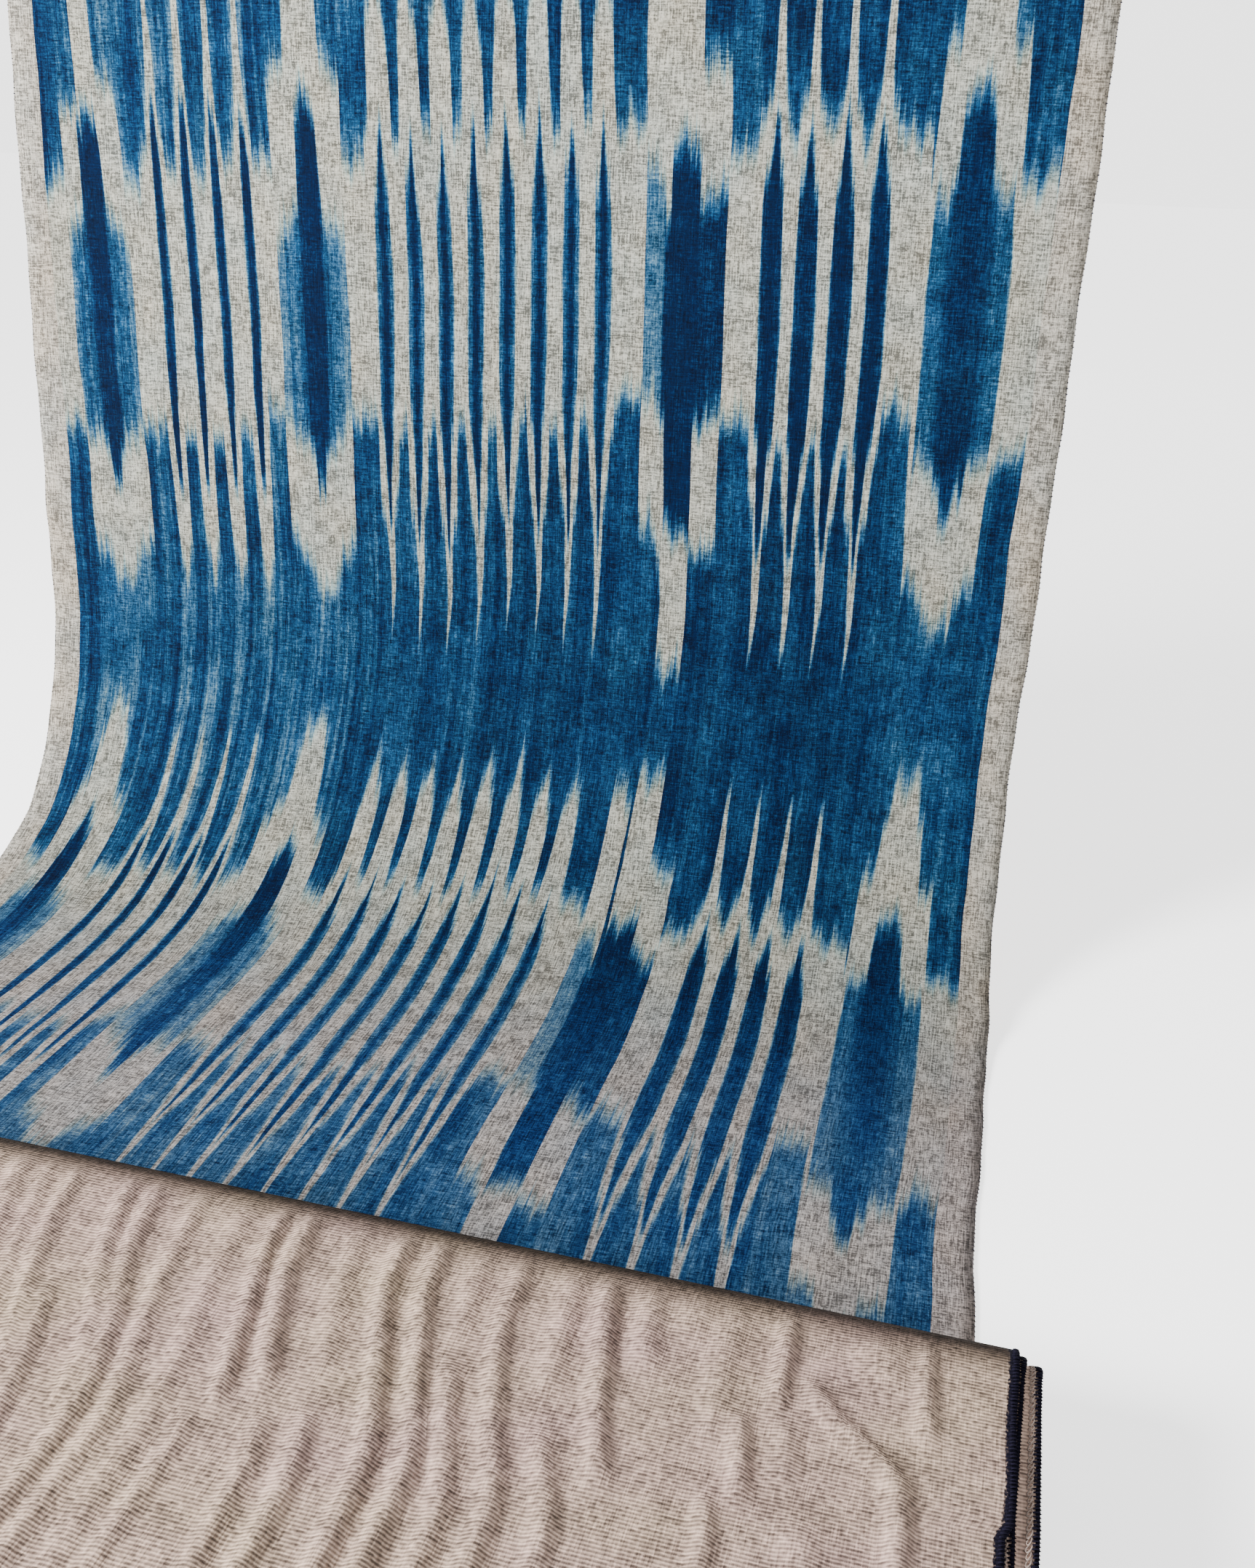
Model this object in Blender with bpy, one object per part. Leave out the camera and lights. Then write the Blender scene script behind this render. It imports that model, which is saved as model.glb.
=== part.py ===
# Ikat cloth, one length: its loose end hangs and sweeps forward on to a surface,
# and the rest is wound flat into a bolt that lies on it with the plain reverse outside.
# Metres, +Z up, the viewer on the -Y side, the hanging plane at the back.
# Origin: the middle of the part's box, on the surface that the cloth lies on.

import math

import bmesh
import bpy
from mathutils import Vector

# Cloth
CLOTH_WIDTH = 0.420
CLOTH_THICKNESS = 0.0016

# Loose end: hanging stretch, the sweep forward and the run on the surface
HANG_TOP = 0.400
SWEEP_ARC = 0.2275
SWEEP_STEPS = 20
HANG_STEPS = 11
RUN_STEPS = 9

# Bolt: the cloth wound flat round itself
BOLT_HEIGHT = 0.038
BOLT_DEPTH = 0.215
BOLT_FAR_EDGE = 0.277
BOLT_TURN = math.radians(-2.8)
TURN_PITCH = 0.0042
FULL_TURNS = 4
BEND_STEPS = 8

# Small steps that the sweep's curve is summed over, and rows across one wound layer
SUM_STEPS = 400
CURVE_STEPS = 20
LAYER_ROWS = 2

# The run on the surface drifts this far to the left before it meets the bolt
RUN_DRIFT = -0.005
DRIFT_START = 0.080
DRIFT_LENGTH = 0.170

# The part's box is centred on the origin by moving everything this far
SIDE_SHIFT = 0.0013
BACK_SHIFT = 0.2498

# Columns across the width: loose end, wound layers and the creased top layer
LOOSE_COLUMNS = 20
WOUND_COLUMNS = 4
CREASED_COLUMNS = 105
CREASED_ROWS = 12

# Soft folds of the hanging stretch: place across, half width and height, in mm
HANG_FOLD_COLUMNS = ("across", "half_width", "height")
HANG_FOLDS = (
    (-150.0, 48.0, 1.6),
    (-62.0, 40.0, -1.2),
    (34.0, 44.0, 1.3),
    (128.0, 50.0, -1.5),
)
# Height above the surface at which they have faded in, in metres
FOLD_FADE = 0.09

# Creases of the bolt's top layer, in mm: place across at three depths in front of the
# far fold, half width and height of each soft ridge
CREASE_DEPTHS = (10.0, 50.0, 90.0)
CREASE_COLUMNS = ("far", "middle", "near", "half_width", "height")
CREASES = (
    (-192.0, -180.0, -170.0, 5.0, 1.0),
    (-176.0, -162.0, -149.0, 5.0, 1.2),
    (-157.0, -142.0, -128.0, 5.0, 0.9),
    (-138.0, -122.0, -107.0, 6.0, 1.2),
    (-120.0, -103.0, -88.0, 5.0, 1.0),
    (-101.0, -83.0, -68.0, 5.0, 1.2),
    (-84.0, -66.0, -50.0, 5.0, 1.0),
    (-68.0, -49.0, -34.0, 5.0, 1.2),
    (-52.0, -33.0, -19.0, 5.0, 1.0),
    (-35.0, -17.0, -4.0, 5.0, 1.1),
    (-20.0, -4.0, 9.0, 4.5, 1.2),
    (-6.0, 9.0, 21.0, 4.5, 1.3),
    (14.0, 24.0, 32.0, 4.5, 0.8),
    (28.0, 37.0, 45.0, 5.0, 1.4),
    (43.0, 53.0, 61.0, 4.5, 0.7),
    (55.0, 66.0, 73.0, 4.5, 1.2),
    (69.0, 80.0, 90.0, 5.0, 1.4),
    (90.0, 96.0, 105.0, 4.5, 1.3),
    (104.0, 109.0, 117.0, 4.5, 1.1),
    (119.0, 123.0, 131.0, 5.0, 1.2),
    (135.0, 139.0, 145.0, 5.0, 0.8),
    (152.0, 153.0, 158.0, 6.0, 1.3),
    (188.0, 188.0, 192.0, 6.0, 1.2),
)
CREASE_RISE = 0.012

# How far each wound layer slides sideways past the outermost one, in mm
LAYER_SLIDES = (0.0, 1.5, 6.5, 5.0, 7.0)

CLOTH_COLOUR = (0.32, 0.38, 0.42, 1.0)
CLOTH_ROUGHNESS = 0.9

SHARP_ANGLE = math.radians(40.0)
SAME_PLACE = 1e-9


def smoothstep(value):
    value = min(1.0, max(0.0, value))
    return value * value * (3.0 - 2.0 * value)


def rows_of(columns, table):
    """Read a table as one dictionary a row, by its column names."""
    return [dict(zip(columns, row)) for row in table]


class Path:
    """The cloth's middle line seen from the side, one station for each row of points."""

    def __init__(self, y, z, heading):
        self.y = y
        self.z = z
        self.heading = heading
        self.stations = []

    def station(self, part, columns, layer=0):
        self.stations.append(dict(
            y=self.y, z=self.z, part=part, columns=columns, layer=layer,
            face=Vector((0.0, math.sin(self.heading), -math.cos(self.heading)))))

    def go(self, distance):
        self.y += math.cos(self.heading) * distance
        self.z += math.sin(self.heading) * distance

    def turn(self, radius, steps, part, columns, layer):
        """Half a turn, clockwise as seen from the cloth's right edge."""
        step = math.pi / steps
        chord = 2.0 * radius * math.sin(step / 2.0)
        for _ in range(steps):
            self.heading -= step / 2.0
            self.go(chord)
            self.heading -= step / 2.0
            self.station(part, columns, layer)


def sweep_drop():
    """Height at which the sweep leaves the hanging plane, from its arc length."""
    drop = 0.0
    for index in range(SUM_STEPS):
        slope = math.pi / 2.0 * (1.0 - smoothstep((index + 0.5) / SUM_STEPS))
        drop += math.sin(slope) * SWEEP_ARC / SUM_STEPS
    return drop


def cloth_path():
    """Walk the cloth from its top edge to the end that is wound in the bolt."""
    half = CLOTH_THICKNESS / 2.0
    down = math.radians(270.0)
    sweep_top = sweep_drop() + half
    path = Path(0.0, HANG_TOP, down)
    path.station("hang", LOOSE_COLUMNS)
    for _ in range(HANG_STEPS):
        path.go((HANG_TOP - sweep_top) / HANG_STEPS)
        path.station("hang", LOOSE_COLUMNS)

    for index in range(SWEEP_STEPS):
        for small in range(CURVE_STEPS):
            fraction = (index + (small + 0.5) / CURVE_STEPS) / SWEEP_STEPS
            path.heading = down - math.pi / 2.0 * smoothstep(fraction)
            path.go(SWEEP_ARC / SWEEP_STEPS / CURVE_STEPS)
        path.heading = down - math.pi / 2.0 * smoothstep((index + 1) / SWEEP_STEPS)
        path.station("sweep", LOOSE_COLUMNS)
    path.heading = math.pi
    path.z = half

    far_centre = -BOLT_FAR_EDGE - BOLT_HEIGHT / 2.0
    near_centre = far_centre - BOLT_DEPTH + BOLT_HEIGHT
    run = path.y - near_centre
    for _ in range(RUN_STEPS):
        path.go(run / RUN_STEPS)
        path.station("run", WOUND_COLUMNS)

    span = far_centre - near_centre
    for layer in range(FULL_TURNS):
        low = half + layer * TURN_PITCH
        high = BOLT_HEIGHT - half - layer * TURN_PITCH
        path.turn((high - low) / 2.0, BEND_STEPS, "near fold", WOUND_COLUMNS, layer)
        outer = layer == 0
        steps = CREASED_ROWS if outer else LAYER_ROWS
        columns = CREASED_COLUMNS if outer else WOUND_COLUMNS
        for index in range(steps):
            path.go(span / steps)
            last = index == steps - 1
            path.station("top", WOUND_COLUMNS if last else columns, layer)
        path.turn((high - low - TURN_PITCH) / 2.0, BEND_STEPS, "far fold", WOUND_COLUMNS, layer)
        for _ in range(LAYER_ROWS):
            path.go(span / LAYER_ROWS)
            path.station("under", WOUND_COLUMNS, layer + 1)
    return path.stations, far_centre


def bump(distance, half_width):
    """A soft ridge: 1 on its line, 0 at twice its half width and beyond."""
    reach = min(1.0, abs(distance) / (2.0 * half_width))
    return (1.0 - reach * reach) ** 2


def hang_relief(across, station):
    """How far the loose end stands out from its plane, in metres."""
    fade = smoothstep((station["z"] - CLOTH_THICKNESS) / FOLD_FADE)
    height = 0.0
    for fold in rows_of(HANG_FOLD_COLUMNS, HANG_FOLDS):
        height += fold["height"] * bump(across * 1000.0 - fold["across"], fold["half_width"])
    return -height * fade / 1000.0


def crease_place(crease, depth):
    """Where a crease lies across the cloth at a depth in front of the far fold, in mm."""
    far, middle, near = CREASE_DEPTHS
    if depth < middle:
        fraction = (depth - far) / (middle - far)
        return crease["far"] + (crease["middle"] - crease["far"]) * fraction
    fraction = (depth - middle) / (near - middle)
    return crease["middle"] + (crease["near"] - crease["middle"]) * fraction


def top_relief(across, station, far_centre):
    """Height of the creases on the bolt's top layer, in metres."""
    depth = far_centre - station["y"]
    span = BOLT_DEPTH - BOLT_HEIGHT
    fade = smoothstep(depth / CREASE_RISE) * smoothstep((span - depth) / CREASE_RISE)
    height = 0.0
    for crease in rows_of(CREASE_COLUMNS, CREASES):
        place = crease_place(crease, depth * 1000.0)
        height += crease["height"] * bump(across * 1000.0 - place, crease["half_width"])
    return height * fade / 1000.0


def place(across, offset, station, far_centre):
    """A point of the cloth in world space, offset from its middle line."""
    relief = 0.0
    if station["part"] in ("hang", "sweep"):
        relief = hang_relief(across, station)
    elif station["part"] == "top" and station["layer"] == 0:
        relief = -top_relief(across, station, far_centre)
    stand = offset + relief
    y = station["y"] + station["face"].y * stand
    z = station["z"] + station["face"].z * stand
    slide = LAYER_SLIDES[station["layer"]] / 1000.0
    under_bolt = 1.0
    if station["part"] in ("hang", "sweep", "run"):
        start = far_centre + BOLT_HEIGHT
        under_bolt = smoothstep((start - station["y"]) / (BOLT_DEPTH - BOLT_HEIGHT / 2.0))
    drift = RUN_DRIFT * smoothstep((-station["y"] - DRIFT_START) / DRIFT_LENGTH)
    x = across + slide + drift * (1.0 - under_bolt)
    turned = BOLT_TURN * under_bolt
    reach = y - far_centre
    turned_x = x * math.cos(turned) - reach * math.sin(turned)
    turned_y = far_centre + x * math.sin(turned) + reach * math.cos(turned)
    return Vector((turned_x + SIDE_SHIFT, turned_y + BACK_SHIFT, z))


def row_points(mesh, station, offset, far_centre):
    """One row of points across the width, on one side of the cloth."""
    points = []
    for column in range(station["columns"] + 1):
        across = CLOTH_WIDTH * (column / station["columns"] - 0.5)
        points.append(mesh.verts.new(place(across, offset, station, far_centre)))
    return points


def join_rows(mesh, first, second, flip):
    """Fill the strip between two rows, which may have different counts of points."""
    left = 0
    right = 0
    while left < len(first) - 1 or right < len(second) - 1:
        left_next = (left + 1) / (len(first) - 1)
        right_next = (right + 1) / (len(second) - 1)
        if abs(left_next - right_next) < SAME_PLACE:
            corners = [first[left], first[left + 1], second[right + 1], second[right]]
            left += 1
            right += 1
        elif right_next > left_next:
            corners = [first[left], first[left + 1], second[right]]
            left += 1
        else:
            corners = [first[left], second[right + 1], second[right]]
            right += 1
        if flip:
            corners.reverse()
        mesh.faces.new(corners)


def build_cloth():
    """The whole cloth as one closed sheet, from the hanging edge to its wound end."""
    stations, far_centre = cloth_path()
    mesh = bmesh.new()
    half = CLOTH_THICKNESS / 2.0
    face_rows = [row_points(mesh, station, half, far_centre) for station in stations]
    back_rows = [row_points(mesh, station, -half, far_centre) for station in stations]
    for index in range(len(stations) - 1):
        join_rows(mesh, face_rows[index], face_rows[index + 1], False)
        join_rows(mesh, back_rows[index], back_rows[index + 1], True)
        for side in (0, -1):
            edge = [face_rows[index][side], face_rows[index + 1][side],
                    back_rows[index + 1][side], back_rows[index][side]]
            if side == -1:
                edge.reverse()
            mesh.faces.new(edge)
    join_rows(mesh, face_rows[0], back_rows[0], True)
    join_rows(mesh, face_rows[-1], back_rows[-1], False)
    bmesh.ops.recalc_face_normals(mesh, faces=mesh.faces)
    bmesh.ops.triangulate(mesh, faces=mesh.faces)
    data = bpy.data.meshes.new("ikat_cloth")
    mesh.to_mesh(data)
    mesh.free()
    data.shade_smooth()
    data.set_sharp_from_angle(angle=SHARP_ANGLE)
    return bpy.data.objects.new("ikat_cloth", data)


def cloth_material():
    material = bpy.data.materials.new("woven_cotton")
    material.use_nodes = True
    shader = material.node_tree.nodes["Principled BSDF"]
    shader.inputs["Base Color"].default_value = CLOTH_COLOUR
    shader.inputs["Roughness"].default_value = CLOTH_ROUGHNESS
    shader.inputs["Metallic"].default_value = 0.0
    return material


def main():
    for thing in list(bpy.data.objects):
        bpy.data.objects.remove(thing, do_unlink=True)
    cloth = build_cloth()
    cloth.data.materials.append(cloth_material())
    bpy.context.scene.collection.objects.link(cloth)


main()
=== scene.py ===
# Looks of one length of ikat cloth: the patterned end hangs and sweeps forward on to a
# surface, and the rest is wound flat into a bolt with its plain taupe reverse outside.
# Metres, +Z up, the viewer on the -Y side. Tables are in millimetres.
import math

import bmesh
import bpy
import numpy as np
from mathutils import Matrix, Vector


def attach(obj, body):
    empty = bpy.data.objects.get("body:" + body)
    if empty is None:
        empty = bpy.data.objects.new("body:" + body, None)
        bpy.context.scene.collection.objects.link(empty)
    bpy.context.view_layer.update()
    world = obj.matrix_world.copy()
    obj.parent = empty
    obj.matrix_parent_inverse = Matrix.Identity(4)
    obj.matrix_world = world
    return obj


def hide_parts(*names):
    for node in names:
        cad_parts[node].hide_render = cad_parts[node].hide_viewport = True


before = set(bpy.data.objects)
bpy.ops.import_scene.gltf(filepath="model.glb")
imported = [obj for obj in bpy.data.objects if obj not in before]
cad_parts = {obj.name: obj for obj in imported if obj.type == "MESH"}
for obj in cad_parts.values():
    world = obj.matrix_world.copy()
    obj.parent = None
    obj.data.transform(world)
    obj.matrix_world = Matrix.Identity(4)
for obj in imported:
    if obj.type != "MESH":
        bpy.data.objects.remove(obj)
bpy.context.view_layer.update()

# Cloth
CLOTH_WIDTH = 0.420
CLOTH_THICKNESS = 0.0007

# Loose end
HANG_TOP = 0.400
SWEEP_ARC = 0.2275
RUN_DRIFT = -0.005
DRIFT_START = 0.080
DRIFT_LENGTH = 0.170

# Bolt
BOLT_HEIGHT = 0.038
BOLT_DEPTH = 0.215
BOLT_FAR_EDGE = 0.2757
BOLT_TURN = math.radians(-3.15)
TURN_PITCH = 0.0015
FULL_TURNS = 12
BEND_STEPS = 14

# The part's box is centred on the origin by moving everything this far
SIDE_SHIFT = 0.0013
BACK_SHIFT = 0.2498

# Distance between rows of points, and columns across the width
HANG_STEP = 0.0065
SWEEP_STEP = 0.0055
RUN_STEP = 0.0080
UNDER_STEP = 4.0 * RUN_STEP
TOP_STEP = 0.0036
LAYER_ROWS = 4
LOOSE_COLUMNS = 84
WOUND_COLUMNS = 6
CREASED_COLUMNS = 320
CREASED_BENDS = 6

# Short steps that each step of the sweep's curve is walked in, steps of the sum that
# gives its height, and how close two columns lie that count as one
CURVE_STEPS = 12
SUM_STEPS = 400
SAME_PLACE = 1e-9

# Parts of the cloth's path that belong to the loose end
LOOSE_PARTS = ("hang", "sweep", "run")

# Soft folds of the hanging stretch: place across, half width and height. They fade out
# below this height above the surface
HANG_FOLDS = (
    (-150.0, 48.0, 1.6),
    (-62.0, 40.0, -1.2),
    (34.0, 44.0, 1.3),
    (128.0, 50.0, -1.5),
)
FOLD_FADE = 0.09

# Soft creases that run across the loose end near its edges: place along the cloth,
# where they start and end across it, half width and height, and how long their ends are
CROSS_FOLDS = (
    (139.0, 168.0, 240.0, 5.0, 0.9),
    (432.0, 176.0, 240.0, 6.0, 0.8),
    (250.0, -240.0, -150.0, 8.0, 0.5),
)
CROSS_END = 30.0

# Creases of the bolt's top layer: height, half width, and the points that each follows,
# as its place across and its depth in front of the far fold
CREASES = (
    (0.5, 2.4, ((-187, 3), (-173, 50), (-160, 112))),
    (0.6, 2.6, ((-167, 5), (-153, 50), (-139, 104))),
    (0.5, 2.4, ((-149, 2), (-133, 50), (-119, 98))),
    (0.6, 2.3, ((-130, 3), (-113, 50), (-99, 110))),
    (0.5, 2.4, ((-112, 5), (-94, 50), (-80, 88))),
    (0.6, 2.2, ((-94, 2), (-76, 50), (-61, 106))),
    (0.6, 2.2, ((-78, 4), (-60, 50), (-45, 92))),
    (0.5, 2.2, ((-62, 3), (-45, 48), (-30, 86))),
    (0.6, 2.1, ((-46, 4), (-30, 46), (-16, 80))),
    (0.9, 3.6, ((-196, 2), (-184, 45), (-172, 120))),
    (1.0, 3.2, ((-176, 4), (-162, 50), (-148, 120))),
    (0.8, 4.0, ((-158, 3), (-143, 50), (-130, 120))),
    (1.1, 3.4, ((-139, 2), (-122, 50), (-108, 120))),
    (0.8, 3.0, ((-121, 4), (-104, 50), (-90, 120))),
    (1.0, 3.4, ((-102, 2), (-83, 50), (-70, 120))),
    (0.9, 2.8, ((-86, 3), (-68, 50), (-52, 120))),
    (1.1, 3.2, ((-70, 2), (-52, 48), (-37, 120))),
    (0.9, 2.8, ((-54, 3), (-38, 44), (-22, 110))),
    (1.0, 2.3, ((-37, 3), (-33, 20), (-27, 36), (-21, 50), (-14, 66), (-8, 90))),
    (1.1, 2.2, ((-20, 40), (-14, 55), (-10, 65), (-6, 78), (-3, 92), (-1, 120))),
    (1.1, 2.3, ((-21, 3), (-16, 20), (-12, 30), (-7, 40), (-2, 50), (3, 62), (6, 78))),
    (1.2, 2.4, ((-13, 3), (-9, 20), (-5, 32), (0, 43), (4, 52), (8, 65), (10, 76), (11, 88),
                (12, 120))),
    (0.9, 2.3, ((0, 5), (2, 15), (5, 30), (11, 52), (15, 65), (18, 76), (18, 88), (19, 120))),
    (0.6, 2.6, ((13, 4), (15, 20), (19, 38), (24, 58), (27, 76), (28, 100))),
    (1.3, 2.2, ((23, 3), (25, 17), (29, 30), (33, 45), (36, 56), (39, 68))),
    (1.5, 2.7, ((31, 3), (33, 20), (37, 32), (40, 42), (44, 52), (47, 61))),
    (0.8, 2.2, ((34, 66), (36, 80), (36, 100))),
    (0.7, 2.8, ((45, 3), (48, 22), (54, 40), (57, 52))),
    (1.0, 2.4, ((49, 63), (53, 78), (54, 92))),
    (1.3, 2.6, ((58, 60), (61, 70), (63, 80), (64, 92), (64, 120))),
    (1.4, 2.6, ((57, 3), (59, 20), (63, 32), (67, 42), (71, 55), (75, 65), (77, 78), (79, 120))),
    (1.4, 2.5, ((67, 3), (69, 20), (74, 35), (78, 48), (84, 62), (86, 75), (87, 120))),
    (0.7, 2.6, ((78, 5), (80, 18), (82, 30))),
    (1.1, 2.5, ((83, 36), (88, 55), (92, 65), (96, 78), (97, 110))),
    (1.3, 2.6, ((89, 3), (90, 22), (93, 35), (98, 52), (103, 65), (106, 77), (107, 120))),
    (0.8, 3.0, ((102, 1), (103, 12), (105, 26), (107, 40))),
    (1.2, 2.6, ((108, 50), (114, 65), (118, 75), (120, 100))),
    (1.5, 2.7, ((111, 3), (115, 22), (117, 30), (119, 42), (122, 52), (126, 64))),
    (1.2, 3.4, ((122, 1), (124, 15), (126, 28))),
    (0.9, 5.0, ((134, 1), (133, 14))),
    (0.7, 3.4, ((143, 2), (143, 24), (146, 46))),
    (1.5, 2.2, ((156, 1), (157, 15), (157, 31))),
    (1.3, 2.4, ((149, 31), (152, 45), (155, 60))),
    (1.1, 2.4, ((147, 56), (150, 72), (152, 110))),
    (0.7, 3.0, ((159, 30), (162, 42), (162, 54))),
    (1.5, 2.8, ((162, 17), (168, 27), (175, 33), (181, 38), (186, 44), (188, 54), (189, 80))),
    (1.1, 6.0, ((178, 1), (183, 20))),
    (1.3, 2.3, ((189, 6), (190, 20), (191, 32))),
    (0.8, 2.2, ((194, 30), (200, 35), (205, 36))),
    (0.8, 4.0, ((166, 56), (170, 70), (172, 90))),
)
# They start and end over this length, and none stands up before this depth. Those that
# reach the depth of a long crease run on, by these lengths in turn, and fade out slowly
CREASE_END = 7.0
FOLD_CLEAR = -2.5
LONG_CREASE = 85.0
RUN_ON = (42.0, 68.0, 30.0, 55.0, 74.0, 36.0, 60.0)
RUN_ON_END = 34.0
# Both of the table's sizes are scaled
CREASE_NARROW = 0.80
CREASE_RISE = 1.35

# How far each wound layer slides sideways past the outermost one
LAYER_SLIDES = (0.0, 0.9, 5.6, 5.1, 4.2, 5.3, 3.4, 4.8, 3.9, 4.5, 3.0, 4.1, 3.5)

# The edges wander in waves of this size, length and start, both margins are drawn
# sideways along the loose end, and the outermost turn's edges are pulled in from a
# certain depth on
EDGE_WAVES = ((0.28, 83.0, 0.0), (0.18, 31.0, 1.3))
EDGE_POWER = 7
MARGIN_WIDTH = 25.0
DRAWN_PLACES = (0, 50, 150, 250, 330, 390, 560, 700)
DRAWN_LEFT = (3.2, 2.5, 0.8, -1.0, -1.5, 2.5, 2.0, 0.0)
DRAWN_RIGHT = (0, 0, 0, 0, -1.6, -1.8, -1.8, 0)
PULL_IN = 0.0015
PULL_DEPTH = 0.047
PULL_LENGTH = 0.003

# Dark thread that binds both edges: how far in it shows on the reverse, and how far on
# the outermost turn, whose wider band is partly bulkier thread and partly painted shadow
# between the layers, how soft its end is, the distance between its stitches in the bolt
# and on the loose end, and how many turns get stitches
THREAD_REACH = 1.1
TOP_THREAD_AND_SHADOW_REACH = 2.3
THREAD_BLUR = 0.35
THREAD_PITCH = 0.0011
LOOSE_PITCH = 0.0021
BOUND_TURNS = 3

# One stitch of it, from the face round the edge to the reverse: outward, along and up
BINDING_LOOP = ((-1.35, -0.3, 0.44), (-0.6, -0.1, 0.54), (0.0, 0.05, 0.44), (0.20, 0.15, 0.0),
                (-0.05, 0.2, -0.40), (-0.35, 0.25, -0.36))
BINDING_RADIUS = 0.22
# Least and greatest size of a stitch, and the seed of its random choice
LOOSE_SIZES = (0.65, 1.15, 7)
BINDING_SIZES = (0.85, 1.25, 4)

# Paler chain stitch beside the edge of the layers beneath the outermost turn
LINK_INSET = 0.0021
LINK_PITCH = 0.0019
LINK_LIFT = 0.0001
LINK_LONG = 1.15
LINK_WIDE = 0.42
LINK_SLANT = 0.35
LINK_CORNERS = 8
LINK_RADIUS = 0.19
LINK_SIZES = (0.85, 1.15, 9)
FIRST_BENEATH = 0.9

# A thread has this many sides, counted round from a direction that no stitch runs in
THREAD_SIDES = 3
RING_START = Vector((0.0, 0.35, 1.0))
# Small distances at which the cloth's own directions are measured
ACROSS_STEP = 0.004
LIFT_STEP = 0.001

# Camera
CAMERA_PLACE = Vector((0.1683 + SIDE_SHIFT, -0.6083 + BACK_SHIFT, 0.2933 + CLOTH_THICKNESS))
CAMERA_YAW = math.radians(10.865)
CAMERA_PITCH = math.radians(21.466)
CAMERA_ROLL = math.radians(2.570)
CAMERA_LENS = 35.65
CAMERA_SENSOR = 36.0
CAMERA_NEAR = 0.01

# Key light, and the surroundings' light low down and overhead, with the heights between
# which one turns into the other
KEY_PLACE = (-1.15, -0.85, 0.80)
KEY_AIM = (0.0, 0.0, 0.08)
KEY_SIZE = 0.60
KEY_POWER = 110.0
WALL_LIGHT = 2.8
CEILING_LIGHT = 0.60
WALL_TOP = (0.10, 0.30)

# Surface: half its size, how far it lies under the cloth, its tone and roughness, and
# its glow near the cloth and far from it, with the distances between which it changes
FLOOR_HALF = 60.0
FLOOR_DROP = 0.0002
FLOOR_TONE = 0.90
FLOOR_ROUGHNESS = 0.8
FLOOR_GLOW = 1.90
FLOOR_FAR_GLOW = 2.30
GLOW_REACH = (0.3, 2.4)

# Pattern of the face between its plain margins. Along the cloth it repeats. Each group of
# warp yarns reaches from the one before it to its own right edge. It has a family of ties,
# one centre and the distance to the next, a scale for its distances from a centre, its
# shift along the repeat and the depth of the dye between its ties
MARGIN_LEFT = -198.5
MARGIN_RIGHT = 197.5
REPEAT = 309.0
GROUPS = (
    (-189.5, "column", 0, 0, 0, 17, 0.82),
    (-163.0, "bar", -177, 80, 1.00, 8, 0.70),
    (-155.0, "column", 0, 0, 0, 15, 0.76),
    (-106.0, "left stripe", -148, 12.6, 1.00, 0, 0.72),
    (-98.5, "column", 0, 0, 0, 5, 0.74),
    (-69.0, "bar", -83.5, 80, 1.00, 2, 0.70),
    (-59.8, "column", 0, 0, 0, 5, 0.76),
    (-10.0, "stripe", -53.5, 12.4, 1.00, 6, 0.78),
    (39.0, "stripe", -3.9, 12.4, 1.00, 0, 0.84),
    (50.0, "column", 0, 0, 0, -11, 0.82),
    (71.0, "block", 66, 80, 1.00, 0, 0.84),
    (81.5, "block side", 0, 0, 0, 0, 0.90),
    (92.0, "column", 0, 0, 0, -3, 0.80),
    (143.5, "wide stripe", 98.5, 13, 0.84, 0, 0.88),
    (155.0, "column", 0, 0, 0, -12, 0.80),
    (187.0, "right bar", 170.5, 80, 0.80, -11, 0.76),
    (197.5, "column", 0, 0, 0, -1, 0.80),
)

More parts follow.
